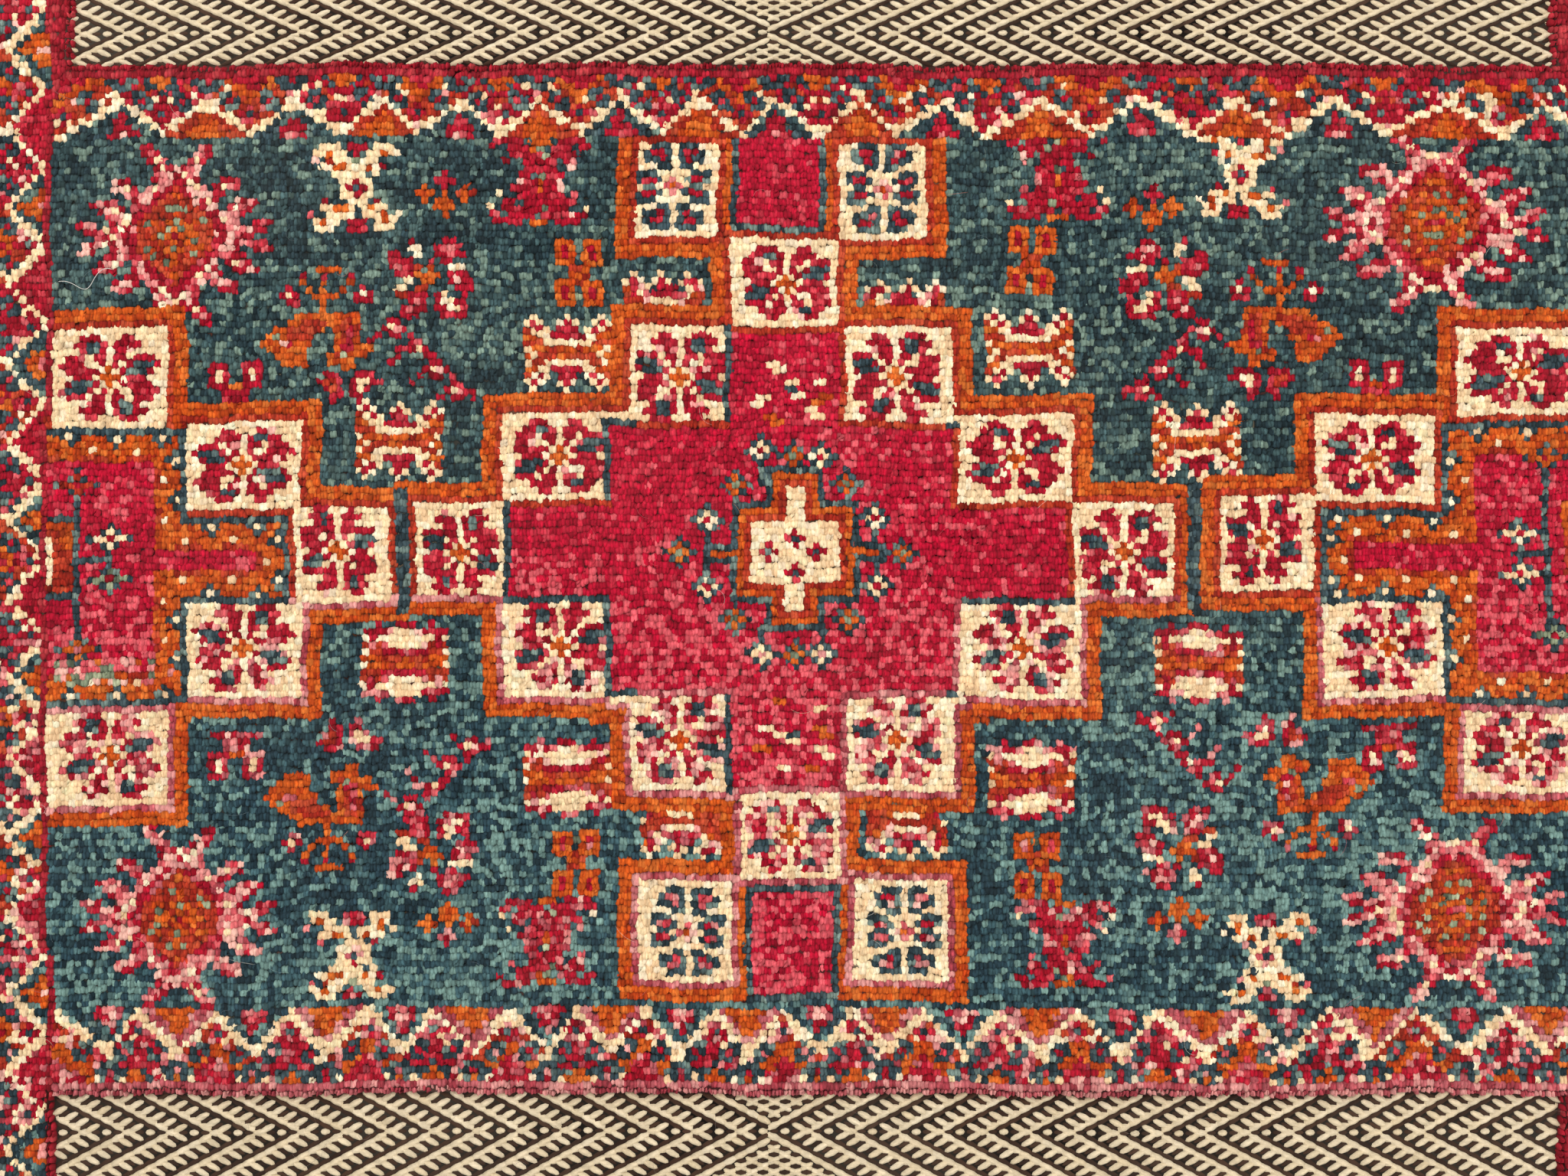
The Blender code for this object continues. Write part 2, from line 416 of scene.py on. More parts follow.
# The zigzag borders. Each turning point of the white line is a column and whether it points outwards.
borders = {
    "topInner": [11.7, 27.0, 40.2, 53.6, 65.1, 77.5, 89.1, 101.0, 112.7, 124.6, 136.1, 149.3, 165.1, 179.8,
                 193.8, 208.5, 226.5, 239.0],
    "topOuter": [20.9, 33.6, 46.5, 59.7, 71.4, 83.0, 94.9, 106.6, 118.0, 131.0, 142.9, 157.4, 172.4, 186.7,
                 201.4, 218.1, 231.9],
    "bottomInner": [10.5, 22.6, 34.8, 46.0, 57.7, 67.1, 78.5, 88.3, 98.5, 108.9, 119.0, 129.5, 140.1, 151.0,
                    162.8, 174.4, 188.2, 199.9, 213.1, 226.8, 239.5],
    "bottomOuter": [18.6, 28.7, 40.4, 51.4, 62.5, 72.9, 84.0, 93.4, 103.6, 113.7, 124.4, 134.5, 146.0, 157.5,
                    169.4, 181.6, 194.2, 207.0, 220.4, 232.8],
    "sideStart": 30.7,
    "sideStep": 11.7,
    "topRows": 10, "bottomRows": 13, "endRows": 10,
}


teeth = {       # half widths of the small triangles at their foot, in knots, and how fast they narrow
    "tealHalf": 2.7, "tealSlope": 0.62, "warmHalf": 3.4, "warmSlope": 0.75,
    "darkShare": 0.4, "thinShare": 0.34,
}
tipFloweret = ["wt.tw", "ttctt", ".ttt."]
legFloweret = ["tt.", "tct", ".tt"]
forkDiamond = [".c.", "ctc", ".c."]


def chartYarn(chart, along, depth, middle, level):
    across = int(along - round(middle)) + len(chart[0]) // 2
    down = int(depth - round(level)) + len(chart) // 2
    if 0 <= across < len(chart[0]) and 0 <= down < len(chart):
        return chart[down][across]
    return "."


def borderYarn(along, depth, style):
    inner, outer = style["inner"], style["outer"]
    turns = np.concatenate([inner, outer])
    levels = np.repeat([style["innerDepth"], style["outerDepth"]], [len(inner), len(outer)])
    order = np.argsort(turns)
    line = np.interp(along, turns[order], levels[order])
    draw = chartRandom.random()
    if depth < style["edgeRows"]:
        return style["edge"]
    if abs(depth - line) < style["lineHalf"]:
        return "w"
    near, far = int(np.argmin(np.abs(inner - along))), int(np.argmin(np.abs(outer - along)))
    if depth > line:
        away, fromBase = abs(outer[far] - along), style["inside"] - depth
        if far % 2 == 0:        # a teal triangle with a small one in it
            if away < teeth["tealHalf"] - teeth["tealSlope"] * fromBase:
                return style["small"] if away > 0.6 or fromBase > 1.5 else "p"
            return "t" if draw < teeth["darkShare"] else "."
        return style["warm"] if away < teeth["warmHalf"] - teeth["warmSlope"] * fromBase else style["rim"]
    out = line - depth
    for chart, middle, level in (
            (tipFloweret, outer[far], style["outerDepth"] - 2.8),
            (legFloweret, (inner[near] + outer[far]) / 2,
             (style["innerDepth"] + style["outerDepth"]) / 2 - 2.6),
            (forkDiamond, inner[near], style["innerDepth"] - 2.6)):
        yarn = chartYarn(chart, along, depth, middle, level)
        if yarn != ".":
            return yarn
    if style["bandRows"] - 0.8 < out <= style["bandRows"]:      # the second, thinner white line
        return "w" if draw < teeth["thinShare"] else style["rim"]
    if out > style["bandRows"]:
        away = abs(inner[near] - along)
        if near % 2 == 0:
            return "o" if out < style["bandRows"] + style["rimRows"] else "c"
        ring = math.hypot(away, (depth - style["edgeRows"]) * 1.15)
        return "c" if ring > 2.9 else "t" if ring > 1.9 else "o"
    if draw < style["flecks"]:
        return "w" if draw < style["flecks"] * 0.55 else "p"
    return "c" if near % 2 else "r"


def evenTurns(first, step, end):
    return np.arange(first, end, step)


# Depths count inwards from the border's outer edge: of the line's turning points and the border's last row.
plainBorder = {
    "innerDepth": 9.4, "outerDepth": 4.6, "inside": 10.0, "edge": "d", "edgeRows": 1.5, "small": "c",
    "warm": "o", "rim": "r", "flecks": 0.22, "lineHalf": 0.62, "bandRows": 4.6, "rimRows": 1.5}
sideStep = borders["sideStep"]
borderStyles = {
    "top": {**plainBorder, "inner": np.array(borders["topInner"]), "outer": np.array(borders["topOuter"]),
            "innerDepth": 9.9, "outerDepth": 5.1, "inside": 10.6, "flecks": 0.24},
    "bottom": {**plainBorder, "inner": np.array(borders["bottomInner"]),
               "outer": np.array(borders["bottomOuter"]), "innerDepth": 11.9, "outerDepth": 5.9,
               "inside": 12.5, "edge": "m", "rim": "m", "flecks": 0.42, "lineHalf": 0.80,
               "bandRows": 3.7, "rimRows": 2.4},
    "side": {**plainBorder, "inner": evenTurns(borders["sideStart"] - 5.85 - 3 * sideStep, sideStep, 230),
             "outer": evenTurns(borders["sideStart"] - 4 * sideStep, sideStep, 240), "outerDepth": 3.8,
             "inside": 9.6, "edgeRows": 0.5, "small": "o", "warm": "c", "rim": "c", "flecks": 0.36,
             "lineHalf": 0.66, "bandRows": 4.4},
    "end": {**plainBorder, "inner": evenTurns(0.85, 11.7, 250), "outer": evenTurns(6.7, 11.7, 250)},
}
leftLine = ([0, 34, 64, 90, 148, 176, 187, 220], [10, 10.6, 10, 9.4, 8.6, 10, 10, 10])
rightLine = 239


def drawBorders():
    top, end = rug["panelTop"], rug["panelEnd"]
    for row in range(rug["rows"]):
        left = int(round(np.interp(row, *leftLine)))
        for column in range(left, rightLine + 1):
            if row < top or row >= end:
                knotChart[row, column] = "d"
            elif row <= top + borders["topRows"]:
                if column > left:
                    knotChart[row, column] = borderYarn(column, row - top, borderStyles["top"])
            elif row >= end - borders["bottomRows"] and column > left:
                knotChart[row, column] = borderYarn(column, end - 1 - row, borderStyles["bottom"])
        for column in list(range(0, left)) + list(range(rightLine + 1, rug["columns"])):
            depth = min(column, rug["columns"] - 1 - column)
            knotChart[row, column] = borderYarn(row, depth, borderStyles["side"])
        knotChart[row, left] = "d"
        knotChart[row, rightLine] = "d"
        fromEnd = min(row, rug["rows"] - 1 - row)
        if fromEnd <= borders["endRows"]:
            for column in range(rug["columns"]):
                if fromEnd <= min(column, rug["columns"] - 1 - column):
                    knotChart[row, column] = borderYarn(column, fromEnd, borderStyles["end"])


drawField()
drawLozenges()
drawCentre()
drawStems()
drawBorders()
isFlat = np.zeros(knotChart.shape, dtype=bool)
for band in (rug["topBand"], rug["bottomBand"]):
    isFlat[band[0]:band[1], band[2]:band[3]] = True
knotChart[isFlat] = "b"
fading = {"fromRow": 84, "mauveShare": 0.24, "pinkShare": 0.10}     # the lower part has faded to pinks
fadeDraw = chartRandom.random(knotChart.shape)
rowIndex = np.arange(rug["rows"])[:, None] * np.ones((1, rug["columns"]))
faded = (knotChart == "c") & (rowIndex > toRow(fading["fromRow"]))
knotChart[faded & (fadeDraw < fading["mauveShare"])] = "m"
knotChart[faded & (fadeDraw > 1 - fading["pinkShare"])] = "p"
print("chart drawn")


def linear(code):
    shade = np.array([int(code[place:place + 2], 16) for place in (1, 3, 5)]) / 255
    return np.where(shade <= 0.04045, shade / 12.92, ((shade + 0.055) / 1.055) ** 2.4)


# For each letter the dark, usual and light dye lots, and how many knots have the dark and the light one.
yarns = {
    ".": ("#25373d", "#3e5658", "#768c7f", 0.40, 0.20),
    "t": ("#2a3b42", "#42555b", "#74877f", 0.45, 0.14),
    "g": ("#66705c", "#8b9578", "#aeb492", 0.30, 0.25),
    "c": ("#96081f", "#ae0f2a", "#cb3e4a", 0.28, 0.12),
    "k": ("#a80829", "#be0c31", "#de5c66", 0.28, 0.09),
    "p": ("#d25a60", "#e48a86", "#f2bbab", 0.30, 0.35),
    "w": ("#eec79a", "#f8d8ab", "#fce5c4", 0.22, 0.25),
    "o": ("#b23d10", "#cb5618", "#da702c", 0.30, 0.18),
    "r": ("#982214", "#b0341f", "#c44e30", 0.30, 0.18),
    "m": ("#a23c46", "#c06066", "#dc9690", 0.28, 0.28),
    "d": ("#8c1220", "#a41c2d", "#b83a40", 0.35, 0.15),
    "b": ("#35251d", "#3f2c22", "#4a362b", 0.30, 0.20),
}
colorRandom = np.random.default_rng(41)


def patches(rows, columns, tall, wide):
    high = int(rows / tall) + 3
    long = int(columns / wide) + 3
    lattice = colorRandom.random((high, long))
    down, across = np.arange(rows) / tall, np.arange(columns) / wide
    top, left = down.astype(int), across.astype(int)
    downShare = (down - top)[:, None]
    acrossShare = (across - left)[None, :]
    downShare = downShare * downShare * (3 - 2 * downShare)
    acrossShare = acrossShare * acrossShare * (3 - 2 * acrossShare)
    corner = lattice[np.ix_(top, left)]
    besides = lattice[np.ix_(top, left + 1)]
    below = lattice[np.ix_(top + 1, left)]
    opposite = lattice[np.ix_(top + 1, left + 1)]
    upper = corner * (1 - acrossShare) + besides * acrossShare
    lower = below * (1 - acrossShare) + opposite * acrossShare
    return upper * (1 - downShare) + lower * downShare


abrash = {
    "streakRows": 1.6, "streakColumns": 34, "cloudRows": 14, "cloudColumns": 26,
    "lightAbove": 0.14, "lightBelow": 0.28, "greenRows": (35, 43), "pinkAbove": 0.06, "pinkBelow": 0.46,
    "lean": 0.7, "lotSpread": 0.22, "knotSpread": 0.05,
    "lowerFrom": 100, "lowerOver": 40,      # the row where the bluer dye lot starts, and its rows to full
    "lowerLot": (-0.02, 0.14, 0.26),
    "pinkFrom": 104, "pinkOver": 12,
}


def knotColors():
    rows, columns = knotChart.shape
    down = np.arange(rows)[:, None] * np.ones((1, columns))
    streak = patches(rows, columns, abrash["streakRows"], abrash["streakColumns"])
    cloud = patches(rows, columns, abrash["cloudRows"], abrash["cloudColumns"])
    lean = (streak - 0.5) * abrash["lean"] + (cloud - 0.5) * abrash["lean"]
    chance = colorRandom.random((rows, columns))
    colors = np.zeros((rows, columns, 3))
    lower = np.clip((down - abrash["lowerFrom"]) / abrash["lowerOver"], 0, 1)
    for letter, (dark, usual, light, darkShare, lightShare) in yarns.items():
        mask = knotChart == letter
        darks = np.full((rows, columns), darkShare)
        lights = np.full((rows, columns), lightShare)
        if letter == ".":
            lights = abrash["lightAbove"] + (abrash["lightBelow"] - abrash["lightAbove"]) * lower
            green = np.exp(-((down - rug["panelTop"] - sum(abrash["greenRows"]) / 2) / 3.5) ** 2)
            lights = np.clip(lights + 0.34 * lean + 0.22 * green * (streak > 0.45), 0.02, 0.75)
            darks = np.clip(darkShare - 0.5 * lean, 0.08, 0.85)
        if letter == "k":
            pinker = np.clip((down - abrash["pinkFrom"]) / abrash["pinkOver"], 0, 1)
            lights = abrash["pinkAbove"] + (abrash["pinkBelow"] - abrash["pinkAbove"]) * pinker
            lights = np.clip(lights + 0.35 * lean, 0.01, 0.7)
            darks = np.clip(darkShare - 0.5 * lean, 0.05, 0.8)
        share = np.where(chance < darks, 0.0, np.where(chance > 1 - lights, 2.0, 1.0))
        share = np.clip(share + colorRandom.normal(0, abrash["lotSpread"], share.shape), 0, 2)
        tones = [linear(code) for code in (dark, usual, light)]
        low = np.clip(share, 0, 1)[..., None]
        high = np.clip(share - 1, 0, 1)[..., None]
        shade = tones[0] * (1 - low) + tones[1] * low
        shade = shade * (1 - high) + tones[2] * high
        if letter == ".":           # the lower part of the field is a bluer dye lot
            shade = shade * (1 + lower[..., None] * np.array(abrash["lowerLot"]))
        colors[mask] = shade[mask]
    colors *= 1 + colorRandom.normal(0, abrash["knotSpread"], (rows, columns, 1))
    return np.clip(colors, 0.002, 0.95)


knotShade = knotColors()
print("yarn colours chosen")


def wander(along, amount, phase):
    return amount * sum(share * np.sin(waves * along + turn * phase) for share, waves, turn in rug["wander"])


def bandBox(band):
    return (-halfWidth + band[2] * knot, -halfWidth + band[3] * knot,
            halfLength - band[1] * knot, halfLength - band[0] * knot)


bandBoxes = [bandBox(rug["topBand"]), bandBox(rug["bottomBand"])]
halfPanel = (rug["panelEnd"] - rug["panelTop"]) * knot / 2
linesAcross = np.array([-halfWidth, bandBoxes[0][0], bandBoxes[0][1], halfWidth])
linesAlong = np.array([-halfLength, bandBoxes[1][2], -halfPanel, halfPanel, bandBoxes[0][3], halfLength])


def drift(place, lines, drifts):
    left = np.clip(np.searchsorted(lines, place) - 1, 0, len(lines) - 2)
    share = (place - lines[left]) / (lines[left + 1] - lines[left])
    each = np.arange(len(place))
    return drifts[left, each] * (1 - share) + drifts[left + 1, each] * share


def wovenPlace(x, y):
    across = np.array([wander(y, rug["edgeWander"], 1.0 + 1.7 * index) for index in range(len(linesAcross))])
    along = np.array([wander(x, rug["rowWander"], 0.4 + 1.3 * index) for index in range(len(linesAlong))])
    along[3] += rug["panelBow"] * np.cos(math.pi * x / (2 * halfWidth))
    return x + drift(x, linesAcross, across), y + drift(y, linesAlong, along)


def outlinePoints():
    side = np.linspace(-halfLength, halfLength, 400)
    end = np.linspace(-halfWidth, halfWidth, 400)
    x = np.concatenate([np.full(400, -halfWidth), np.full(400, halfWidth), end, end])
    y = np.concatenate([side, side, np.full(400, -halfLength), np.full(400, halfLength)])
    return wovenPlace(x, y)


edgeX, edgeY = outlinePoints()
shiftX = -(edgeX.min() + edgeX.max()) / 2
shiftY = -(edgeY.min() + edgeY.max()) / 2


def place(x, y):
    x, y = wovenPlace(np.asarray(x, dtype=float), np.asarray(y, dtype=float))
    return x + shiftX, y + shiftY


def smoothRise(distance, width):
    share = np.clip(distance / width + 0.5, 0, 1)
    return share * share * (3 - 2 * share)


def surfaceHeight(x, y):
    sunken = np.zeros_like(x)
    for left, right, low, high in bandBoxes:
        nearest = np.minimum.reduce([x - left, right - x, y - low, high - y])
        sunken = np.maximum(sunken, smoothRise(nearest, rug["bankWidth"]))
    full = rug["pileHeight"] + (rug["wovenHeight"] - rug["pileHeight"]) * sunken
    swell = np.sin(14.0 * x + 1.3) * np.cos(11.0 * y - 0.6) + 0.6 * np.sin(31.0 * x - 19.0 * y)
    full = full + rug["swell"] * (1.0 - 0.6 * sunken) * swell
    inward = np.minimum(halfWidth - np.abs(x), halfLength - np.abs(y))
    short = 1 - np.clip(inward / rug["rimRounding"], 0, 1)
    return rug["rimHeight"] + (full - rug["rimHeight"]) * np.sqrt(1 - short * short)


def makePiece(name, points, polygons, colors, uvs=None, smooth=True):
    mesh = bpy.data.meshes.new(name)
    points = np.asarray(points, dtype=np.float32)
    mesh.vertices.add(len(points))
    mesh.vertices.foreach_set("co", points.ravel())
    if isinstance(polygons, np.ndarray):
        counts = np.full(len(polygons), polygons.shape[1], dtype=np.int32)
        corners = polygons.astype(np.int32).ravel()
    else:
        counts = np.array([len(polygon) for polygon in polygons], dtype=np.int32)
        corners = np.concatenate([np.asarray(polygon, dtype=np.int32) for polygon in polygons])
    mesh.loops.add(len(corners))
    mesh.loops.foreach_set("vertex_index", corners)
    mesh.polygons.add(len(counts))
    mesh.polygons.foreach_set("loop_start", np.concatenate([[0], np.cumsum(counts)[:-1]]).astype(np.int32))
    mesh.polygons.foreach_set("use_smooth", np.full(len(counts), smooth))
    # colours and the flat map come one for each point, or one for each corner of a face
    domain = "POINT" if len(colors) == len(points) else "CORNER"
    shades = mesh.attributes.new("yarnColor", "FLOAT_COLOR", domain)
    withAlpha = np.column_stack([colors, np.ones(len(colors))]).astype(np.float32)
    shades.data.foreach_set("color", withAlpha.ravel())
    if uvs is not None:
        flat = np.asarray(uvs, dtype=np.float32)
        layer = mesh.uv_layers.new(name="OFBake")
        layer.data.foreach_set("uv", (flat[corners] if len(flat) == len(points) else flat).ravel())
    mesh.update(calc_edges=True)
    mesh.validate()
    piece = bpy.data.objects.new(name, mesh)
    bpy.context.collection.objects.link(piece)
    return piece


def cellGrid(count):
    side = int(math.ceil(math.sqrt(count)))
    index = np.arange(count)
    return np.column_stack([(index % side + 0.5) / side, (index // side + 0.5) / side]), 1.0 / side


def fanFaces(owners, step, count):
    # each side of a ring is joined to its own point on the crest, with a face between two such points
    one = []
    for index, mine in enumerate(owners):
        after = (index + 1) % len(owners)
        one.append((index, after, mine))
        if owners[after] != mine:
            one.append((after, owners[after], mine))
    return (np.array(one)[None] + (np.arange(count) * step)[:, None, None]).reshape(-1, 3)


pile = {
    "strips": 6,
    "sides": 6,
    "apart": 0.25,              # the two ends of a knot's yarn stand this far off its middle, in knots
    "rootAcross": 0.54, "rootAlong": 0.74,       # radii, in knots
    "crest": 0.24,              # half the length of a strand's crest, in knots
    "depth": 0.0019,            # how deep a strand goes into the pile
    "bankDepth": 0.0066,
    "heightSpread": 0.00026,
    "placeSpread": 0.105,
    "lean": 0.10,
    "leanSpread": 0.10,
    "raggedness": 0.22,
    "paintedRootShade": (0.28, 0.84),     # painted shade at the roots of the strands, for the darkest and the lightest yarns
    # painted highlight on the crests of the strands, for the darkest and the lightest yarns
    "paintedCrestLight": (1.16, 1.00),
    "strandSpread": (0.05, 0.36),       # how much strands differ, all yarns, and what dark ones add
    "waveFade": 0.04,           # the small waves of the rows die out over this width at the edges
    "lowestRoot": 0.0012,
    "twistSpread": 0.30,
    "crestSink": 0.00016,
}


def tufts(name, rows, columns, random):
    knots = len(rows)
    rows, columns = np.repeat(rows, 2), np.repeat(columns, 2)
    count = 2 * knots
    side = np.tile([-1.0, 1.0], knots)
    x = (columns - middleColumn) * knot
    y = (middleRow - rows) * knot
    pair = np.repeat(random.normal(0, 1, (knots, 3)), 2, axis=0)
    height = surfaceHeight(x, y) + (pair[:, 0] * 0.8 + random.normal(0, 0.7, count)) * pile["heightSpread"]
    waveX = 0.0007 * np.sin(y * 61 + 2.0 * np.sin(x * 17)) + 0.0004 * np.sin(y * 170 + x * 40)
    waveY = 0.0008 * np.sin(x * 43 + 1.5 * np.sin(y * 23)) + 0.0005 * np.sin(x * 118 - y * 31)
    fade = np.clip(np.minimum(halfWidth - np.abs(x), halfLength - np.abs(y)) / pile["waveFade"], 0, 1)
    nearFlat = grow(isFlat, 1)[rows, columns]
    nearRim = np.minimum.reduce([rows, columns, rug["rows"] - 1 - rows, rug["columns"] - 1 - columns]) <= 2
    spread = pile["placeSpread"] * knot
    x = x + side * pile["apart"] * knot + waveX * fade + pair[:, 1] * spread
    x = x + random.normal(0, 0.6, count) * spread
    y = y + waveY * fade + pair[:, 2] * spread + random.normal(0, 0.8, count) * spread
    root = height - np.where(nearFlat | nearRim, pile["bankDepth"], pile["depth"])
    root = np.maximum(root, pile["lowestRoot"])
    sides = pile["sides"]
    angle = (np.arange(sides) + 0.5)[None, :] * 2 * math.pi / sides + random.normal(0, 0.25, (count, 1))
    ragged = 1 + random.uniform(-1, 1, (count, sides)) * pile["raggedness"]
    leanX = random.normal(0, pile["leanSpread"], count) * knot
    leanY = (-pile["lean"] + random.normal(0, pile["leanSpread"], count)) * knot
    points = np.zeros((count, sides + 2, 3))
    points[:, :sides, 0] = x[:, None] + np.cos(angle) * pile["rootAcross"] * knot * ragged
    points[:, :sides, 1] = y[:, None] + np.sin(angle) * pile["rootAlong"] * knot * ragged
    points[:, :sides, 2] = root[:, None]
    twist = random.normal(0, pile["twistSpread"], count)
    crest = pile["crest"] * knot * (1 + random.normal(0, 0.15, count))
    for end, way in ((sides, 1), (sides + 1, -1)):
        points[:, end, 0] = x + leanX + way * np.sin(twist) * crest
        points[:, end, 1] = y + leanY + way * np.cos(twist) * crest
        points[:, end, 2] = height - np.abs(random.normal(0, pile["crestSink"], count))
    px, py = place(points[..., 0].ravel(), points[..., 1].ravel())
    points[..., 0] = px.reshape(count, -1)
    points[..., 1] = py.reshape(count, -1)
    # the upper end of the crest is joined to the sides above the middle, the lower one to those below it
    faces = fanFaces([sides if index < sides / 2 else sides + 1 for index in range(sides)], sides + 2, count)
    shade = knotShade[rows, columns][:, None, :] * np.ones((1, sides + 2, 1))
    paleness = knotShade[rows, columns].mean(-1)[:, None, None]
    # the roots are painted darker, as shade in the creases between strands
    shade[:, :sides] *= pile["paintedRootShade"][0] + (pile["paintedRootShade"][1] - pile["paintedRootShade"][0]) * paleness
    # the crests are painted lighter as a highlight, most on dark yarns
    paintedCrestLight = pile["paintedCrestLight"][0] + (pile["paintedCrestLight"][1] - pile["paintedCrestLight"][0]) * paleness
    spreadShade = pile["strandSpread"][0] + pile["strandSpread"][1] * np.exp(-8 * paleness)
    strand = np.clip(1 + random.normal(0, 1, (count, 1, 1)) * spreadShade, 0.45, 1.9)
    shade[:, sides:] *= paintedCrestLight * strand * (1 + random.normal(0, 0.07, (count, 2, 1)))
    middles, cell = cellGrid(count)
    flat = np.zeros((count, sides + 2, 2))
    flat[:] = middles[:, None, :]
    around = (np.arange(sides) + 0.5) * 2 * math.pi / sides
    flat[:, :sides] += np.column_stack([np.cos(around), np.sin(around)]) * cell * 0.48
    flat[:, sides, 1] += 0.2 * cell
    flat[:, sides + 1, 1] -= 0.2 * cell
    shade = np.clip(shade.reshape(-1, 3), 0, 1)
    return makePiece(name, points.reshape(-1, 3), faces, shade, flat.reshape(-1, 2))


pileRandom = np.random.default_rng(5)
pilePieces = []
stripEdges = np.linspace(0, rug["rows"], pile["strips"] + 1).astype(int)
for strip in range(pile["strips"]):
    keep = ~isFlat
    keep[:1] = keep[-1:] = False
    keep[:, :1] = keep[:, -1:] = False
    keep[:stripEdges[strip]] = False
    keep[stripEdges[strip + 1]:] = False
    stripRows, stripColumns = np.nonzero(keep)
    pilePieces.append(tufts(f"pile_{strip + 1}", stripRows, stripColumns, pileRandom))
print("pile knotted:", sum(len(piece.data.polygons) for piece in pilePieces), "triangles")


backing = {
    "underPile": 0.0066, "underWeave": 0.0024, "rim": 0.0030, "rimDrop": 0.0012, "step": 5,
    # the top of the backing shows only in the gaps between tufts and grains, and is painted almost black
    # there as shade
    "paintedGapShade": 0.10, "underShade": 0.8, "rimColor": "#6f1826",
    # where the underside, the rim and the top lie in the flat map
    "underMap": 0.885, "rimMap": (0.890, 0.903), "topMap": (0.91, 0.085),
}


def stations(count, extra):
    lines = set(range(0, count, backing["step"])) | {0, 1, 2, count - 2, count - 1, count}
    for line in extra:
        lines |= {line - 1, line, line + 1}
    return np.array(sorted(lines))


def quadMap(*corners):
    return np.stack([np.column_stack(corner) for corner in corners], axis=1).reshape(-1, 2)


def buildBacking():
    rows, columns = rug["rows"], rug["columns"]
    lineX = np.arange(columns + 1) * knot - halfWidth
    lineY = halfLength - np.arange(rows + 1) * knot
    gridX, gridY = np.meshgrid(lineX, lineY)
    bottomX, bottomY = place(gridX.ravel(), gridY.ravel())
    bottom = np.column_stack([bottomX, bottomY, np.zeros(len(bottomX))])
    downLines = stations(rows, rug["topBand"][:2] + rug["bottomBand"][:2])
    acrossLines = stations(columns, rug["topBand"][2:] + rug["bottomBand"][2:])
    topX, topY = np.meshgrid(lineX[acrossLines], lineY[downLines])
    height = np.full(topX.shape, backing["underPile"])
    for index, down in enumerate(downLines):
        for other, across in enumerate(acrossLines):
            fromRim = min(down, across, rows - down, columns - across)
            if fromRim < 2:
                height[index, other] = (backing["rim"], backing["underPile"] - backing["rimDrop"])[fromRim]
            for band in (rug["topBand"], rug["bottomBand"]):
                if band[0] <= down <= band[1] and band[2] <= across <= band[3]:
                    height[index, other] = backing["underWeave"]
    placedX, placedY = place(topX.ravel(), topY.ravel())
    top = np.column_stack([placedX, placedY, height.ravel()])
    wide, first = columns + 1, (rows + 1) * (columns + 1)
    down, across = np.meshgrid(np.arange(rows), np.arange(columns), indexing="ij")
    corner = (down * wide + across).ravel()
    faces = [np.column_stack([corner, corner + 1, corner + wide + 1, corner + wide])]
    colors = [np.repeat(knotShade.reshape(-1, 3) * backing["underShade"], 4, axis=0)]
    bakeDown, bakeAcross = down.ravel() / rows * backing["underMap"], across.ravel() / columns
    stepDown, stepAcross = backing["underMap"] / rows, 1 / columns
    uvs = [quadMap((bakeAcross, bakeDown), (bakeAcross + stepAcross, bakeDown),
                   (bakeAcross + stepAcross, bakeDown + stepDown), (bakeAcross, bakeDown + stepDown))]
    topWide = len(acrossLines)
    topDown, topAcross = np.meshgrid(np.arange(len(downLines) - 1), np.arange(topWide - 1), indexing="ij")
    start = first + (topDown * topWide + topAcross).ravel()
    topFaces = np.column_stack([start, start + topWide, start + topWide + 1, start + 1])
    faces.append(topFaces)
    topRow = np.clip(downLines[topDown.ravel()], 0, rows - 1)
    topColumn = np.clip(acrossLines[topAcross.ravel()], 0, columns - 1)
    # the top of the backing is painted almost black, as shade in the gaps
    colors.append(np.repeat(knotShade[topRow, topColumn] * backing["paintedGapShade"], 4, axis=0))
    topStart, topReach = backing["topMap"]
    spanX, spanY = acrossLines / columns, topStart + downLines / rows * topReach
    leftU, rightU = spanX[topAcross.ravel()], spanX[topAcross.ravel() + 1]
    lowV, highV = spanY[topDown.ravel()], spanY[topDown.ravel() + 1]
    uvs.append(quadMap((leftU, lowV), (leftU, highV), (rightU, highV), (rightU, lowV)))
    polygons = [list(face) for block in faces for face in block]
    rimColor, (rimLow, rimHigh) = linear(backing["rimColor"]), backing["rimMap"]
    # The upper end, the lower end, the left and the right side: the lines along it, where its points start
    # and how far apart they stand below and above, and whether its faces are turned over.
    lastTop = first + (len(downLines) - 1) * topWide
    sides = [
        (acrossLines, 0, 1, first, 1, True), (acrossLines, rows * wide, 1, lastTop, 1, False),
        (downLines, 0, wide, first, topWide, False),
        (downLines, columns, wide, first + topWide - 1, topWide, True)]
    for number, (lines, below, belowStep, above, aboveStep, flipped) in enumerate(sides):
        for index in range(len(lines) - 1):
            span = range(lines[index], lines[index + 1] + 1)
            share = [number / 4 + 0.24 * line / lines[-1] for line in span]
            flat = [(u, rimLow) for u in share] + [(share[-1], rimHigh), (share[0], rimHigh)]
            ring = [below + line * belowStep for line in span]
            ring += [above + (index + 1) * aboveStep, above + index * aboveStep]
            if flipped:
                ring, flat = ring[::-1], flat[::-1]
            polygons.append(ring)
            uvs.append(np.array(flat))
            colors.append(np.repeat(rimColor[None], len(ring), axis=0))
    points = np.vstack([bottom, top])
    return makePiece("backing", points, polygons, np.vstack(colors), np.vstack(uvs), smooth=False)


backingPiece = buildBacking()
print("backing woven:", len(backingPiece.data.polygons), "faces")


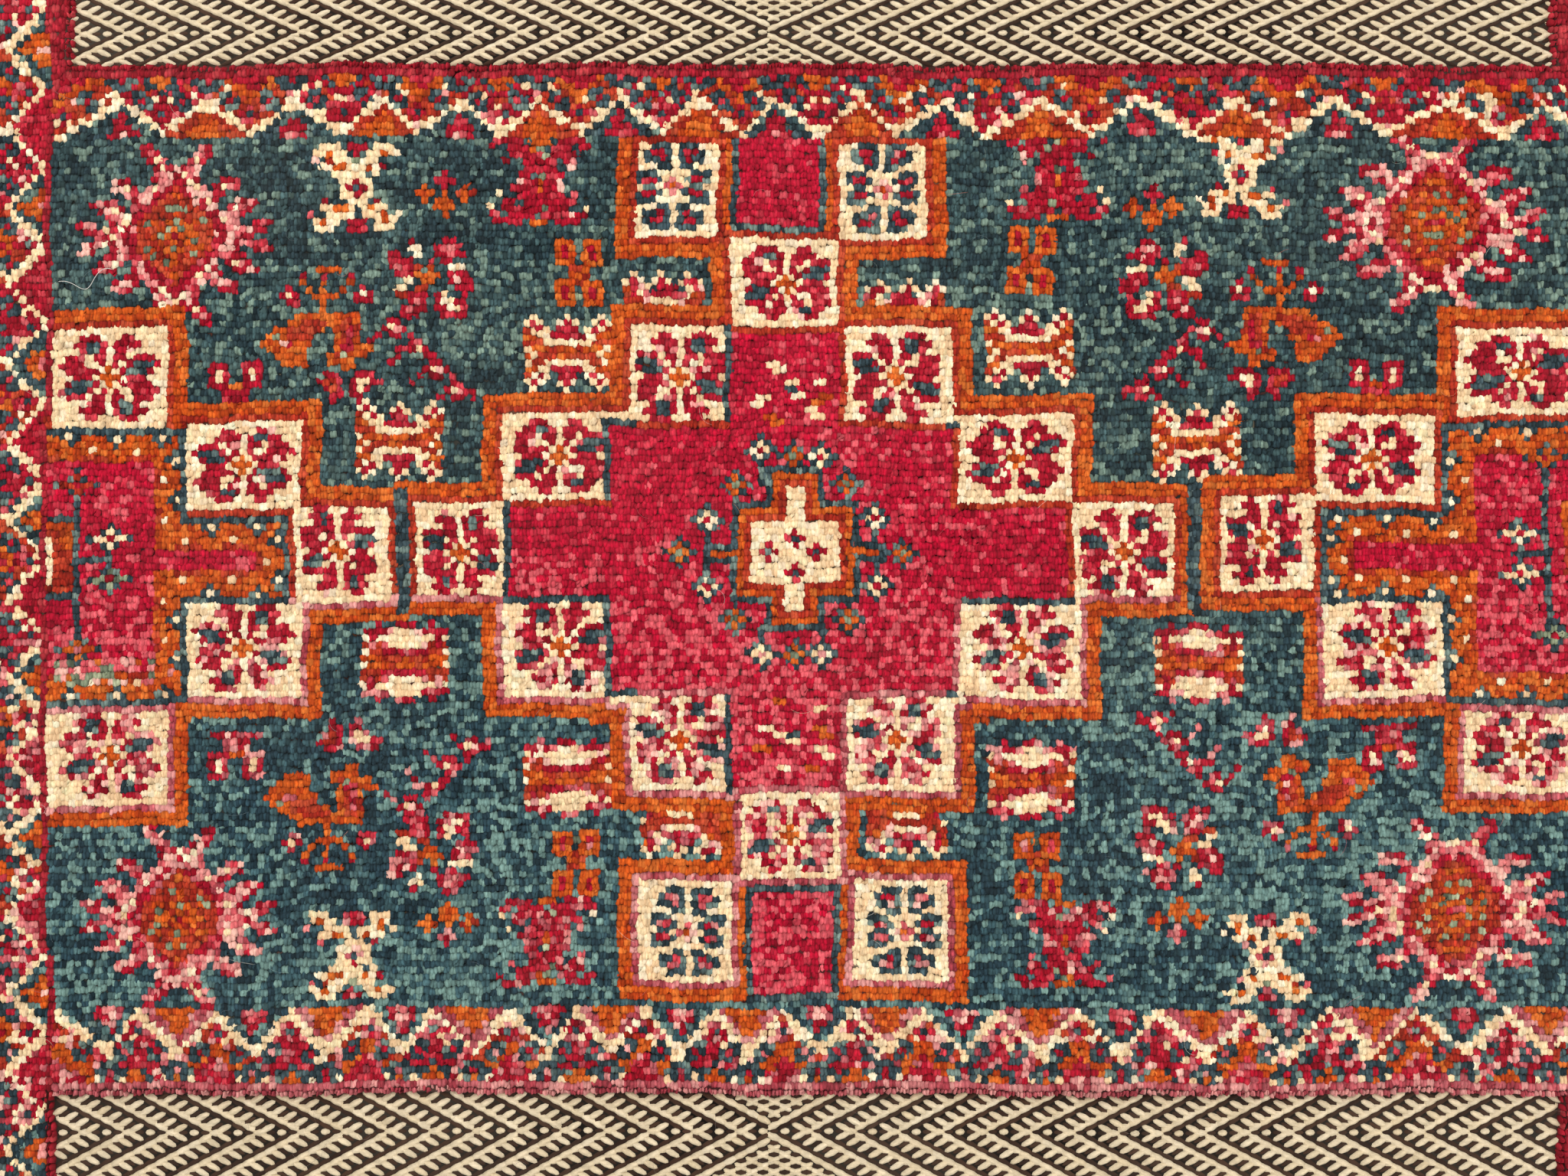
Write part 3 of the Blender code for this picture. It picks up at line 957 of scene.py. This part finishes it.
weave = {
    "unit": 0.00652,            # one warp step of the pattern
    "rowsInBand": (30, 26),
    "tipRow": (23, 6),          # the row of chevron tips, counted down from the band's upper edge
    "turnRows": (16, 14),       # rows between tip rows
    "centreX": -0.025,
    "cream": ("#dcc8a4", "#ead9ba"),       # darkest and lightest
    "brown": ("#2a180f", "#4a3224"),
    "rungShift": 0.34,
    "base": 0.0021,
    "ridge": 0.26,              # how far the ridge's ends stand from a grain's middle, in lengths
    # painted shade on the foot ring of each grain, where the grains meet
    "paintedFootShade": 0.72,
    "grains": {                 # length and width in steps of the pattern, height, and 1 for cream
        "eye": (0.95, 1.25, 0.0044, 1), "wideEye": (1.35, 1.4, 0.0044, 1),
        "betweenEyes": (0.95, 0.95, 0.0038, 0), "diamond": (1.05, 0.95, 0.0040, 0),
        "lattice": (1.3, 1.15, 0.0044, 1), "latticeUnder": (1.3, 1.15, 0.0043, 1),
        "darkLine": (1.50, 0.98, 0.0041, 0), "rung": (1.62, 1.22, 0.0044, 1),
        "darkRung": (1.45, 0.85, 0.0036, 0), "paleLine": (1.50, 1.38, 0.0046, 1)},
}
grainSides = 8


def grainMesh(name, grains, random):
    grains = np.array(grains)
    count = len(grains)
    x, y, tilt, length, width, height, isCream = grains.T
    around = np.arange(grainSides) * 2 * math.pi / grainSides
    ringX = np.cos(around)[None, :] * length[:, None] / 2
    ringY = np.sin(around)[None, :] * width[:, None] / 2 * 1.05
    ridgeX = np.array([-weave["ridge"], 0.0, weave["ridge"]])[None, :] * length[:, None]
    ridgeY = random.normal(0, 0.05, (count, 3)) * width[:, None]
    localX = np.hstack([ringX, ridgeX])
    localY = np.hstack([ringY, ridgeY])
    cosine, sine = np.cos(tilt)[:, None], np.sin(tilt)[:, None]
    pointX = x[:, None] + localX * cosine - localY * sine
    pointY = y[:, None] + localX * sine + localY * cosine
    level = np.zeros((count, grainSides + 3))
    level[:, :grainSides] = weave["base"]
    level[:, grainSides:] = height[:, None] + np.array([-0.00022, 0.0, -0.00022])[None, :]
    level[:, grainSides:] += random.normal(0, 0.00008, (count, 3))
    placedX, placedY = place(pointX.ravel(), pointY.ravel())
    points = np.column_stack([placedX, placedY, level.ravel()])
    ridge = [grainSides + point for point in (2, 2, 1, 0, 0, 0, 1, 2)]
    faces = fanFaces(ridge, grainSides + 3, count)
    tones = {key: [linear(code) for code in weave[key]] for key in ("cream", "brown")}
    pick = np.clip(random.normal(0.5, 0.22, count), 0, 1)[:, None]
    cream = tones["cream"][0] * (1 - pick) + tones["cream"][1] * pick
    brown = tones["brown"][0] * (1 - pick) + tones["brown"][1] * pick
    shade = np.where(isCream[:, None] > 0.5, cream, brown)[:, None, :] * np.ones((1, grainSides + 3, 1))
    # the foot rings are painted darker, as shade between the grains
    shade[:, :grainSides] *= weave["paintedFootShade"]
    shade[:, grainSides:] *= 1 + random.normal(0, 0.05, (count, 3, 1))
    middles, cell = cellGrid(count)
    flat = np.zeros((count, grainSides + 3, 2))
    flat[:] = middles[:, None, :]
    flat[:, :grainSides, 0] += np.cos(around) * cell * 0.47
    flat[:, :grainSides, 1] += np.sin(around) * cell * 0.47
    flat[:, grainSides:, 0] += np.array([-weave["ridge"], 0, weave["ridge"]]) * cell
    return makePiece(name, points, faces, shade.reshape(-1, 3), flat.reshape(-1, 2))


def tipDistance(row, tip, turn):
    return abs((row - tip + turn) % (2 * turn) - turn)


def weaveBand(which, name, random):
    left, right, low, high = bandBoxes[which]
    rows = weave["rowsInBand"][which]
    pitch = (high - low) / rows
    unit = weave["unit"]
    steep = math.atan2(pitch, unit)
    span = math.hypot(unit, pitch)
    tip, turn = weave["tipRow"][which], weave["turnRows"][which]
    grains = []

    def lay(kind, x, y, tilt, step):
        length, width, height, isCream = weave["grains"][kind]
        grains.append((x, y, tilt, step * length, pitch * width, height, isCream))

    for row in range(rows):
        y = high - (row + 0.5) * pitch
        above = ((row - tip + turn) % (2 * turn)) - turn < 0
        for step in range(-75, 76):
            x = weave["centreX"] + step * unit
            if x < left - 0.1 * unit or x > right + 0.1 * unit:
                continue
            fromTip = tipDistance(row, tip, turn)
            side = -1 if step < 0 else 1
            away = abs(step)
            # along is the way that the long lines run here: down towards the middle above a tip row
            along = side * (1 if above else -1) * steep
            if fromTip == 0:
                kind = (3 + away) % 4
                lay("eye" if kind == 0 else "wideEye" if kind == 2 else "betweenEyes", x, y, 0.0, unit)
                continue
            if away <= fromTip - 2:         # the wedge in the middle, of staggered dark diamonds
                if (fromTip - away) % 2 == 0:
                    lay("diamond", x, y, 0.0, unit)
                else:
                    lay("lattice", x, y, along, span)
                    lay("latticeUnder", x, y, -along, span)
                continue
            kind = (away - fromTip) % 4
            if kind == 0:
                lay("darkLine", x, y, along, span)
            elif kind == 1:
                shift = side * span * weave["rungShift"]
                lay("rung", x + shift * math.cos(along), y - shift * math.sin(along), -along, span)
            elif kind == 2:
                lay("darkRung", x, y, -along, span)
            else:
                lay("paleLine", x, y, along, span)
    return grainMesh(name, grains, random)


weaveRandom = np.random.default_rng(9)
bandPieces = [weaveBand(0, "flatBand_upper", weaveRandom), weaveBand(1, "flatBand_lower", weaveRandom)]
print("bands woven:", sum(len(piece.data.polygons) for piece in bandPieces), "triangles")


binding = {
    "inset": 0.0023, "across": 0.0025, "up": 0.0024, "middle": 0.0027, "pitch": 0.0042, "crease": 0.84,
    "skew": 0.0008, "sides": 9, "corner": 0.009, "lowest": 0.0002, "color": "#8a1c2e",
    "shades": (1.05, 0.5),      # painted highlight on a turn of the cord, and painted shade in the crease beside it
}


def perimeter():
    inset, corner = binding["inset"], binding["corner"]
    x, y = halfWidth - inset, halfLength - inset
    points = []
    for cx, cy, start in [(x - corner, y - corner, 0), (-x + corner, y - corner, 90),
                          (-x + corner, -y + corner, 180), (x - corner, -y + corner, 270)]:
        for degrees in range(start, start + 91, 15):
            turn = math.radians(degrees)
            points.append((cx + corner * math.cos(turn), cy + corner * math.sin(turn)))
    return np.array(points)


def buildBinding(random):
    path = perimeter()
    closed = np.vstack([path, path[:1]])
    lengths = np.concatenate([[0], np.cumsum(np.hypot(*np.diff(closed, axis=0).T))])
    count = 2 * int(round(lengths[-1] / binding["pitch"]))
    at = np.arange(count) * lengths[-1] / count
    x, y = np.interp(at, lengths, closed[:, 0]), np.interp(at, lengths, closed[:, 1])
    ahead = np.column_stack([np.roll(x, -1) - np.roll(x, 1), np.roll(y, -1) - np.roll(y, 1)])
    ahead /= np.hypot(*ahead.T)[:, None]
    outward = np.column_stack([ahead[:, 1], -ahead[:, 0]])
    size = np.where(np.arange(count) % 2 == 0, 1.0, binding["crease"]) * (1 + random.normal(0, 0.03, count))
    around = np.arange(binding["sides"]) * 2 * math.pi / binding["sides"]
    reach = np.cos(around)[None, :] * binding["across"] * size[:, None]
    skew = np.sin(around)[None, :] * binding["skew"]
    pointX = x[:, None] + outward[:, :1] * reach + ahead[:, :1] * skew
    pointY = y[:, None] + outward[:, 1:] * reach + ahead[:, 1:] * skew
    level = binding["middle"] + np.sin(around)[None, :] * binding["up"] * size[:, None]
    placedX, placedY = place(pointX.ravel(), pointY.ravel())
    points = np.column_stack([placedX, placedY, np.maximum(level.ravel(), binding["lowest"])])
    index, side = np.meshgrid(np.arange(count), np.arange(binding["sides"]), indexing="ij")
    nextIndex, nextSide = (index + 1) % count, (side + 1) % binding["sides"]
    index, nextIndex = index * binding["sides"], nextIndex * binding["sides"]
    ring = [index + side, nextIndex + side, nextIndex + nextSide, index + nextSide]
    faces = np.stack(ring, -1).reshape(-1, 4)
    tone = linear(binding["color"])[None, :] * (1 + random.normal(0, 0.10, (count, 1)))
    # turns of the cord are painted a little lighter as highlight, and creases darker as shade
    tone *= np.where(np.arange(count) % 2 == 0, *binding["shades"])[:, None]
    shade = np.repeat(tone, binding["sides"], axis=0)
    return makePiece("edgeBinding", points, faces, np.clip(shade, 0, 1))


edgePiece = buildBinding(np.random.default_rng(3))
print("edge bound")


loose = {"count": 260, "length": (0.006, 0.020), "radius": 0.00006, "points": 7, "margin": 0.008,
         "lift": 0.0002, "arch": 0.0006}


def fibreTube(path, radius):
    path = np.asarray(path)
    count = len(path)
    ahead = np.gradient(path, axis=0)
    ahead /= np.linalg.norm(ahead, axis=1)[:, None]
    side = np.cross(ahead, [0.0, 0.0, 1.0])
    side /= np.maximum(np.linalg.norm(side, axis=1)[:, None], 1e-6)
    upward = np.cross(side, ahead)
    taper = np.interp(np.arange(count), [0, 1, count - 2, count - 1], [0.35, 1, 1, 0.35])[:, None] * radius
    rings = [path + (side * math.cos(turn) + upward * math.sin(turn)) * taper
             for turn in (0.5 * math.pi, math.pi * 7 / 6, math.pi * 11 / 6)]
    points = np.stack(rings, axis=1).reshape(-1, 3)
    faces = []
    for index in range(count - 1):
        for corner in range(3):
            after = (corner + 1) % 3
            ring = index * 3
            faces.append((ring + corner, ring + after, ring + 3 + after, ring + 3 + corner))
    faces.append((0, 2, 1))
    faces.append((count * 3 - 3, count * 3 - 2, count * 3 - 1))
    return points, faces


def buildFibres(random):
    points, faces, shades = [], [], []
    start = 0
    for _ in range(loose["count"]):
        row, column = random.integers(2, rug["rows"] - 2), random.integers(2, rug["columns"] - 2)
        heading, bend = random.random() * 2 * math.pi, random.normal(0, 1.2)
        length = random.uniform(*loose["length"])
        along = np.linspace(-0.5, 0.5, loose["points"])
        turn = heading + bend * along * 2
        x = (column - middleColumn) * knot + np.cumsum(np.cos(turn)) * length / loose["points"]
        y = (middleRow - row) * knot + np.cumsum(np.sin(turn)) * length / loose["points"]
        x = np.clip(x, -halfWidth + loose["margin"], halfWidth - loose["margin"])
        y = np.clip(y, -halfLength + loose["margin"], halfLength - loose["margin"])
        z = surfaceHeight(x, y) + loose["lift"] + loose["arch"] * np.cos(along * math.pi)
        placedX, placedY = place(x, y)
        tube, tubeFaces = fibreTube(np.column_stack([placedX, placedY, z]), loose["radius"])
        points.append(tube)
        faces += [tuple(corner + start for corner in face) for face in tubeFaces]
        start += len(tube)
        light = np.clip(knotShade[row, column] * 1.5 + 0.12, 0, 0.85)
        shades.append(np.repeat(light[None], len(tube), axis=0))
    return makePiece("looseFibres", np.vstack(points), faces, np.vstack(shades))


thread = {
    "radius": 0.00022, "lift": 0.0007, "points": 44, "smoothings": 4, "color": "#e9e6de",
    "guide": [(-0.4500, 0.1782), (-0.4455, 0.1785), (-0.4410, 0.1768), (-0.4370, 0.1742), (-0.4335, 0.1733),
              (-0.4310, 0.1750), (-0.4290, 0.1795), (-0.4268, 0.1830), (-0.4235, 0.1855), (-0.4205, 0.1862),
              (-0.4180, 0.1855)],
}


def buildThread():
    guide = np.array(thread["guide"])
    fine = np.linspace(0, len(guide) - 1, thread["points"])
    x = np.interp(fine, np.arange(len(guide)), guide[:, 0])
    y = np.interp(fine, np.arange(len(guide)), guide[:, 1])
    for _ in range(thread["smoothings"]):
        x[1:-1] = (x[:-2] + 2 * x[1:-1] + x[2:]) / 4
        y[1:-1] = (y[:-2] + 2 * y[1:-1] + y[2:]) / 4
    z = surfaceHeight(x, y) + thread["lift"] + 0.0004 * np.sin(fine * 1.7)
    points, faces = fibreTube(np.column_stack([x, y, z]), thread["radius"])
    return makePiece("looseThread", points, faces, np.tile(linear(thread["color"]), (len(points), 1)))


fibrePiece = buildFibres(np.random.default_rng(12))
threadPiece = buildThread()
print("fibres laid")


def feed(tree, socket, value):
    # a value that is itself a socket is linked, and any other is set
    if isinstance(value, bpy.types.NodeSocket):
        tree.links.new(value, socket)
    else:
        socket.default_value = value


def addNode(tree, kind, **values):
    node = tree.nodes.new(kind)
    for key, value in values.items():
        if hasattr(node, key):
            setattr(node, key, value)
        else:
            feed(tree, node.inputs[key.replace("_", " ")], value)
    return node


def mathNode(tree, operation, *values):
    node = addNode(tree, "ShaderNodeMath", operation=operation)
    for socket, value in zip(node.inputs, values):
        feed(tree, socket, value)
    return node.outputs[0]


def newGroup(name, inputs, outputs):
    group = bpy.data.node_groups.new(name, "ShaderNodeTree")
    for label, kind, value in inputs:
        socket = group.interface.new_socket(name=label, in_out="INPUT", socket_type=kind)
        socket.default_value = value
    for label, kind in outputs:
        group.interface.new_socket(name=label, in_out="OUTPUT", socket_type=kind)
    return group, group.nodes.new("NodeGroupInput"), group.nodes.new("NodeGroupOutput")


def fibreGroup():
    group, given, result = newGroup(
        "woolFibre",
        [("Stretch", "NodeSocketVector", (1.0, 1.0, 1.0)), ("Fibres per Metre", "NodeSocketFloat", 1500.0),
         ("Contrast", "NodeSocketFloat", 0.3)],
        [("Shade", "NodeSocketFloat"), ("Height", "NodeSocketFloat")])
    where = addNode(group, "ShaderNodeTexCoord")
    scaled = addNode(group, "ShaderNodeVectorMath", operation="MULTIPLY")
    feed(group, scaled.inputs[0], where.outputs["Object"])
    feed(group, scaled.inputs[1], given.outputs["Stretch"])
    perMetre = given.outputs["Fibres per Metre"]
    fine = addNode(group, "ShaderNodeTexNoise", Detail=2.0, Roughness=0.6, Vector=scaled.outputs[0],
                   Scale=perMetre)
    coarse = addNode(group, "ShaderNodeTexNoise", Detail=1.0, Vector=scaled.outputs[0],
                     Scale=mathNode(group, "MULTIPLY", perMetre, 0.3))
    both = mathNode(group, "ADD", fine.outputs["Fac"], coarse.outputs["Fac"])
    centred = mathNode(group, "SUBTRACT", both, 1.0)
    feed(group, result.inputs["Shade"],
         mathNode(group, "MULTIPLY_ADD", centred, given.outputs["Contrast"], 1.0))
    feed(group, result.inputs["Height"], fine.outputs["Fac"])
    return group


def colorSocket(sockets, name):
    return next(socket for socket in sockets if socket.name == name and socket.type == "RGBA")


dustColor = (0.42, 0.36, 0.28, 1)


def wearGroup():
    group, given, result = newGroup(
        "handledWool",
        [("Color", "NodeSocketColor", (0.5, 0.5, 0.5, 1)), ("Dust", "NodeSocketFloat", 0.1),
         ("Patch Size", "NodeSocketFloat", 9.0)],
        [("Color", "NodeSocketColor")])
    where = addNode(group, "ShaderNodeTexCoord")
    clouds = addNode(group, "ShaderNodeTexNoise", Detail=4.0, Roughness=0.55, Vector=where.outputs["Object"],
                     Scale=given.outputs["Patch Size"])
    spread = addNode(group, "ShaderNodeMapRange", From_Min=0.35, From_Max=0.70, Value=clouds.outputs["Fac"])
    share = mathNode(group, "MULTIPLY", spread.outputs["Result"], given.outputs["Dust"])
    dusty = addNode(group, "ShaderNodeMix", data_type="RGBA", Factor=share)
    feed(group, colorSocket(dusty.inputs, "A"), given.outputs["Color"])
    feed(group, colorSocket(dusty.inputs, "B"), dustColor)
    feed(group, result.inputs["Color"], colorSocket(dusty.outputs, "Result"))
    return group


fibres = fibreGroup()
wear = wearGroup()


def woolMaterial(name, look):
    material = bpy.data.materials.new(name)
    material.use_nodes = True
    tree = material.node_tree
    tree.nodes.clear()
    dyed = addNode(tree, "ShaderNodeAttribute", attribute_name="yarnColor")
    streaks = addNode(tree, "ShaderNodeGroup", node_tree=fibres, Stretch=look["stretch"],
                      Fibres_per_Metre=look["fibres"], Contrast=look["contrast"])
    shaded = addNode(tree, "ShaderNodeVectorMath", operation="SCALE", Scale=streaks.outputs["Shade"])
    feed(tree, shaded.inputs[0], dyed.outputs["Color"])
    worn = addNode(tree, "ShaderNodeGroup", node_tree=wear, Color=shaded.outputs[0], Dust=look["dust"],
                   Patch_Size=look["patches"])
    dull = addNode(tree, "ShaderNodeMapRange", To_Min=look["roughness"][0], To_Max=look["roughness"][1],
                   Value=streaks.outputs["Height"])
    bump = addNode(tree, "ShaderNodeBump", Strength=look["bump"], Distance=0.0003,
                   Height=streaks.outputs["Height"])
    shader = addNode(tree, "ShaderNodeBsdfPrincipled", Specular_IOR_Level=look["specular"],
                     Sheen_Weight=look["sheen"], Sheen_Roughness=0.5, Sheen_Tint=(1.0, 0.95, 0.9, 1),
                     Base_Color=worn.outputs["Color"], Roughness=dull.outputs["Result"],
                     Normal=bump.outputs["Normal"])
    addNode(tree, "ShaderNodeOutputMaterial", Surface=shader.outputs["BSDF"])
    return material


woolLooks = {
    "pileWool": {"stretch": (1.0, 0.28, 0.35), "fibres": 1500.0, "contrast": 0.90, "dust": 0.02,
                 "patches": 7.0, "roughness": (0.72, 0.95), "bump": 0.6, "specular": 0.12, "sheen": 0.04},
    "flatWool": {"stretch": (0.45, 1.0, 1.0), "fibres": 1300.0, "contrast": 0.5, "dust": 0.04, "patches": 6.0,
                 "roughness": (0.75, 0.95), "bump": 0.45, "specular": 0.2, "sheen": 0.05},
    "backWool": {"stretch": (1.0, 1.0, 1.0), "fibres": 1100.0, "contrast": 0.6, "dust": 0.12, "patches": 5.0,
                 "roughness": (0.80, 0.97), "bump": 0.6, "specular": 0.15, "sheen": 0.0},
    "bindingWool": {"stretch": (1.0, 1.0, 0.35), "fibres": 1400.0, "contrast": 0.7, "dust": 0.08,
                    "patches": 9.0, "roughness": (0.75, 0.95), "bump": 0.5, "specular": 0.2, "sheen": 0.08},
    "looseWool": {"stretch": (1.0, 1.0, 1.0), "fibres": 900.0, "contrast": 0.3, "dust": 0.02, "patches": 9.0,
                  "roughness": (0.60, 0.85), "bump": 0.2, "specular": 0.3, "sheen": 0.1},
}
wools = {name: woolMaterial(name, look) for name, look in woolLooks.items()}

dressing = [(piece, "pileWool") for piece in pilePieces] + [(piece, "flatWool") for piece in bandPieces]
dressing += [(backingPiece, "backWool"), (edgePiece, "bindingWool"), (fibrePiece, "looseWool"),
             (threadPiece, "looseWool")]
for piece, wool in dressing:
    piece.data.materials.append(wools[wool])
    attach(piece, "root")
    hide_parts("rug")
print("materials set")


studio = {
    "floor": "#e9e6e1", "floorHalf": 6, "floorDrop": 0.0004, "fillColor": (1.0, 0.97, 0.93, 1),
    "fillStrength": 0.75, "lightSize": 1.6, "lens": 50.2, "eye": (-0.0187, -0.0039, 1.309),
    "lights": [("keyLight", 38.0, (-0.7, 1.5, 2.0)), ("sideLight", 14.0, (1.6, -0.9, 1.6))],
}


def buildStudio():
    mesh = bpy.data.meshes.new("studioFloor")
    half, level = studio["floorHalf"], -studio["floorDrop"]
    corners = [(-half, -half, level), (half, -half, level), (half, half, level), (-half, half, level)]
    mesh.from_pydata(corners, [], [(0, 1, 2, 3)])
    floor = bpy.data.objects.new("studioFloor", mesh)
    bpy.context.collection.objects.link(floor)
    plain = bpy.data.materials.new("floorPaint")
    plain.use_nodes = True
    shader = plain.node_tree.nodes["Principled BSDF"]
    shader.inputs["Base Color"].default_value = (*linear(studio["floor"]), 1)
    shader.inputs["Roughness"].default_value = 0.8
    floor.data.materials.append(plain)
    world = bpy.data.worlds.new("softRoom")
    bpy.context.scene.world = world
    world.use_nodes = True
    fill = world.node_tree.nodes["Background"]
    fill.inputs["Color"].default_value = studio["fillColor"]
    fill.inputs["Strength"].default_value = studio["fillStrength"]
    for name, power, spot in studio["lights"]:
        light = bpy.data.lights.new(name, "AREA")
        light.energy = power
        light.size = studio["lightSize"]
        lamp = bpy.data.objects.new(name, light)
        bpy.context.collection.objects.link(lamp)
        lamp.location = spot
        direction = -np.array(spot)
        lamp.rotation_euler = (math.atan2(math.hypot(direction[0], direction[1]), -direction[2]), 0,
                               math.atan2(direction[1], direction[0]) - math.pi / 2)


def buildCamera():
    camera = bpy.data.cameras.new("camera")
    camera.lens = studio["lens"]
    camera.sensor_width = 36
    camera.clip_start = 0.01
    eye = bpy.data.objects.new("camera", camera)
    bpy.context.collection.objects.link(eye)
    eye.location = studio["eye"]
    bpy.context.scene.camera = eye


buildStudio()
buildCamera()
bpy.context.scene.view_settings.view_transform = "Standard"
print("studio lit")
